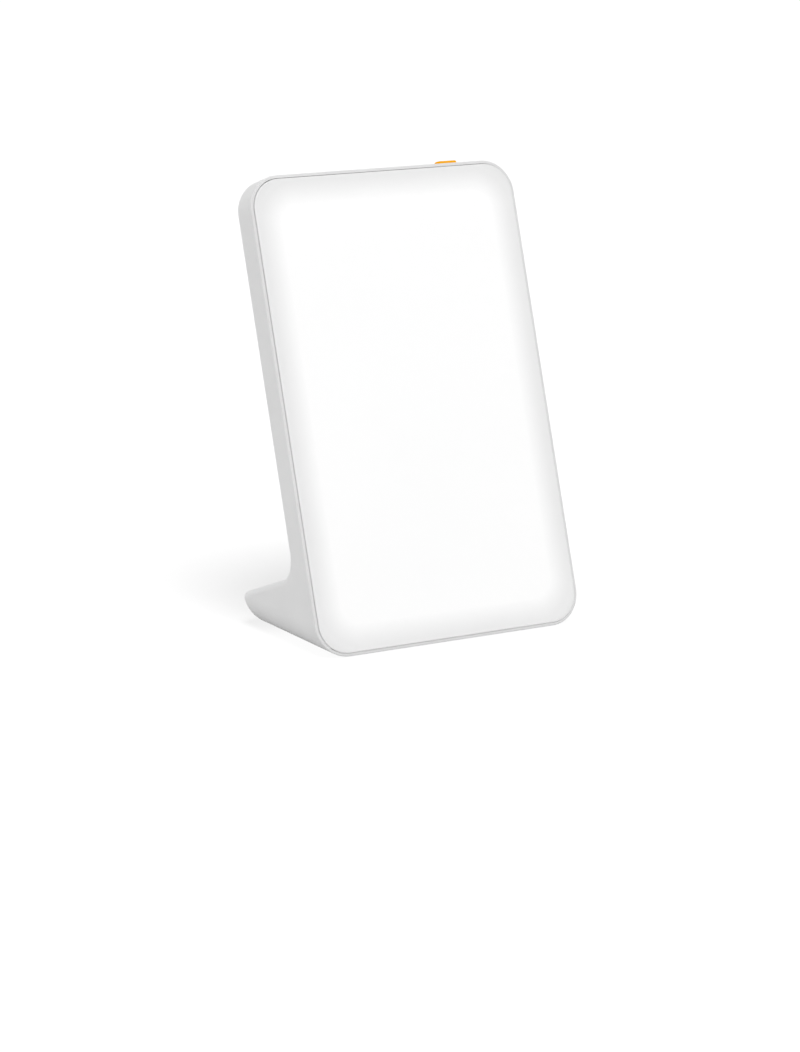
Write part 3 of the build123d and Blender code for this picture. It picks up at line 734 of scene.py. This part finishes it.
def makeWinding(look):
    # a helix: radius * (cos a, sin a) about the core's axis, rising evenly between the flanges
    low, high = (np.array(corner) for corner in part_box("driver_inductor"))
    middle = (low + high) / 2
    inset = (look["flange"] + look["wire"]) * mm
    angle = np.linspace(0, look["turns"] * 2 * np.pi, int(look["turns"] * look["perTurn"]))
    reach = look["radius"] * mm
    path = np.stack([
        middle[0] + reach * np.cos(angle),
        middle[1] + reach * np.sin(angle),
        np.linspace(low[2] + inset, high[2] - inset, len(angle)),
    ], axis=1)
    points, faces = sweep(path, (0, 0, 1), circle(look["wire"] * mm, look["sides"]))
    meshPiece("inductor_winding", points, faces, metals["enamelCopper"])


# the chips' legs, in millimetres: inset is from the chips' outermost corner to a chip's middle, and
# half from there to the side that the legs leave
legLook = {
    "rise": 0.7, "reach": 0.5, "thickness": 0.18,
    "outwards": (-0.2, 0.6, 1.0, 1.1, 1.3, 2.4), "heights": (1.0, 1.0, 0.85, 0.15, 0.0, 0.0),
    "chips": {
        "controller": {
            "corner": (-1, 1), "inset": (2.5, 3.0), "half": 2.0, "ways": [(0, -1), (0, 1)],
            "legs": 4, "pitch": 1.27, "width": 0.42,
        },
        "transistor": {
            "corner": (1, 1), "inset": (3.25, 3.0), "half": 3.0, "ways": [(0, -1), (0, 1)],
            "legs": 3, "pitch": 2.28, "width": 0.8,
        },
        "diode": {
            "corner": (1, -1), "inset": (3.25, 1.3), "half": 2.25, "ways": [(-1, 0), (1, 0)],
            "legs": 1, "pitch": 0.0, "width": 1.5,
        },
    },
}


def makeLegs(look):
    # each leg is a flat strip carried along a gull's wing: out of the chip's side, down to the
    # board and out again; the strip is 1 mm wide, and its side vector widens it
    low, high = (np.array(corner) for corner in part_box("driver_chips"))
    u, v = mm / 2, look["thickness"] / 2 * mm
    strip = np.array([(-u, -v), (u, -v), (u, v), (-u, v)])
    outwards = np.array(look["outwards"]) * look["reach"] * mm
    heights = np.array(look["heights"]) * look["rise"] * mm
    shapes = []
    for chip in look["chips"].values():
        corner = np.where(np.array(chip["corner"]) > 0, high[:2], low[:2])
        middle = corner - np.array(chip["corner"]) * chip["inset"] * mm
        places = (np.arange(chip["legs"]) - (chip["legs"] - 1) / 2) * chip["pitch"] * mm
        for way, place in itertools.product(chip["ways"], places):
            out, side = np.array((*way, 0.0)), np.array((way[1], -way[0], 0.0))
            path = np.outer(chip["half"] * mm + outwards, out)
            path += np.array((*middle, low[2] + v)) + side * place
            path[:, 2] += heights
            shapes.append(sweep(path, side * chip["width"], strip))
    points, faces = joined(shapes)
    meshPiece("chip_legs", points, faces, metals["screwSteel"])


makeWinding(windingLook)
makeLegs(legLook)
print("winding and chip legs made")

# the studio: white floor and background for the camera, and plain soft light on the lamp from a sky
# that is a little brighter round the horizon; the sun shines on the floor alone, for a soft shadow
# that is faint in front of the lamp and stronger behind it
studioLook = {
    "floorSize": 16.0,
    "floorTone": 0.17,
    "openFloor": 1.05,
    "floorLight": 3.0,
    "shadowShare": (0.03, 0.13),
    "shadowRise": (0.0, 0.07),
    "horizonLevel": 1.3,
    "zenithLevel": 0.68,
    "lamps": {
        "keyLight": {"place": (0.35, -1.35, 1.75), "size": 1.2, "power": 6.5},
        "fillLight": {"place": (-1.6, -0.5, 0.9), "size": 1.2, "power": 2.5},
    },
    "target": (0, 0, 0.1),
    "sunFrom": (-0.12, -0.5, 1.0),
    "sunLevel": 7.9,
    "sunAngle": 30.0,
}


def makeFloor(look):
    half = look["floorSize"] / 2
    corners = [(-half, -half, 0), (half, -half, 0), (half, half, 0), (-half, half, 0)]
    mesh = bpy.data.meshes.new("floor")
    mesh.from_pydata(corners, [], [(0, 1, 2, 3)])
    floor = bpy.data.objects.new("floor", mesh)
    bpy.context.scene.collection.objects.link(floor)
    material, graph = newMaterial("floor")
    lit = graph.node("ShaderNodeBsdfDiffuse", {}, {"Color": grey(look["floorTone"])})
    faint, strong = look["shadowShare"]
    share = faint + graph.here().dot((0, 1, 0)).ease(*look["shadowRise"]) * (strong - faint)
    shadow = graph.node("ShaderNodeBsdfDiffuse", {}, {"Color": share})
    strength = look["openFloor"] - share * look["floorLight"]
    glow = graph.node("ShaderNodeEmission", {}, {"Strength": strength})
    pale = graph.node("ShaderNodeAddShader", {}, {0: shadow, 1: glow})
    both = graph.node("ShaderNodeMixShader", {}, {0: graph.seenDirectly(), 1: lit, 2: pale})
    clear = graph.node("ShaderNodeBsdfTransparent")
    below = graph.node("ShaderNodeNewGeometry", output="Backfacing")
    seenThrough = below * graph.lightPath("Is Camera Ray")
    sides = graph.node("ShaderNodeMixShader", {}, {0: seenThrough, 1: both, 2: clear})
    graph.node("ShaderNodeOutputMaterial", {}, {"Surface": sides})
    mesh.materials.append(material)
    return floor


def makeWorld(look):
    world = bpy.data.worlds.new("studio")
    world.use_nodes = True
    bpy.context.scene.world = world
    graph = Graph(world.node_tree)
    rise = graph.node("ShaderNodeTexCoord", output="Generated").dot((0, 0, 1)).atLeast(0.0)
    level = look["horizonLevel"] + rise * (look["zenithLevel"] - look["horizonLevel"])
    sky = graph.node("ShaderNodeBackground", {}, {"Color": (1, 1, 1, 1), "Strength": level})
    white = graph.node("ShaderNodeBackground", {}, {"Color": (1, 1, 1, 1), "Strength": 1.0})
    both = graph.node("ShaderNodeMixShader", {}, {0: graph.seenDirectly(), 1: sky, 2: white})
    graph.node("ShaderNodeOutputWorld", {}, {"Surface": both})


def makeLamp(name, look, target):
    data = bpy.data.lights.new(name, "AREA")
    data.shape = "DISK"
    data.size, data.energy = look["size"], look["power"]
    lamp = bpy.data.objects.new(name, data)
    lamp.location = look["place"]
    towards = Vector(target) - lamp.location
    lamp.rotation_euler = towards.to_track_quat("-Z", "Y").to_euler()
    bpy.context.scene.collection.objects.link(lamp)


def makeSun(look, floor):
    data = bpy.data.lights.new("sun", "SUN")
    data.energy, data.angle = look["sunLevel"], math.radians(look["sunAngle"])
    sun = bpy.data.objects.new("sun", data)
    sun.rotation_euler = Vector(look["sunFrom"]).to_track_quat("Z", "Y").to_euler()
    bpy.context.scene.collection.objects.link(sun)
    lit = bpy.data.collections.new("lit by the sun")
    lit.objects.link(floor)
    sun.light_linking.receiver_collection = lit


floor = makeFloor(studioLook)
makeSun(studioLook, floor)
makeWorld(studioLook)
for name, look in studioLook["lamps"].items():
    makeLamp(name, look, studioLook["target"])
bpy.context.scene.view_settings.view_transform = "Standard"
print("studio lit")
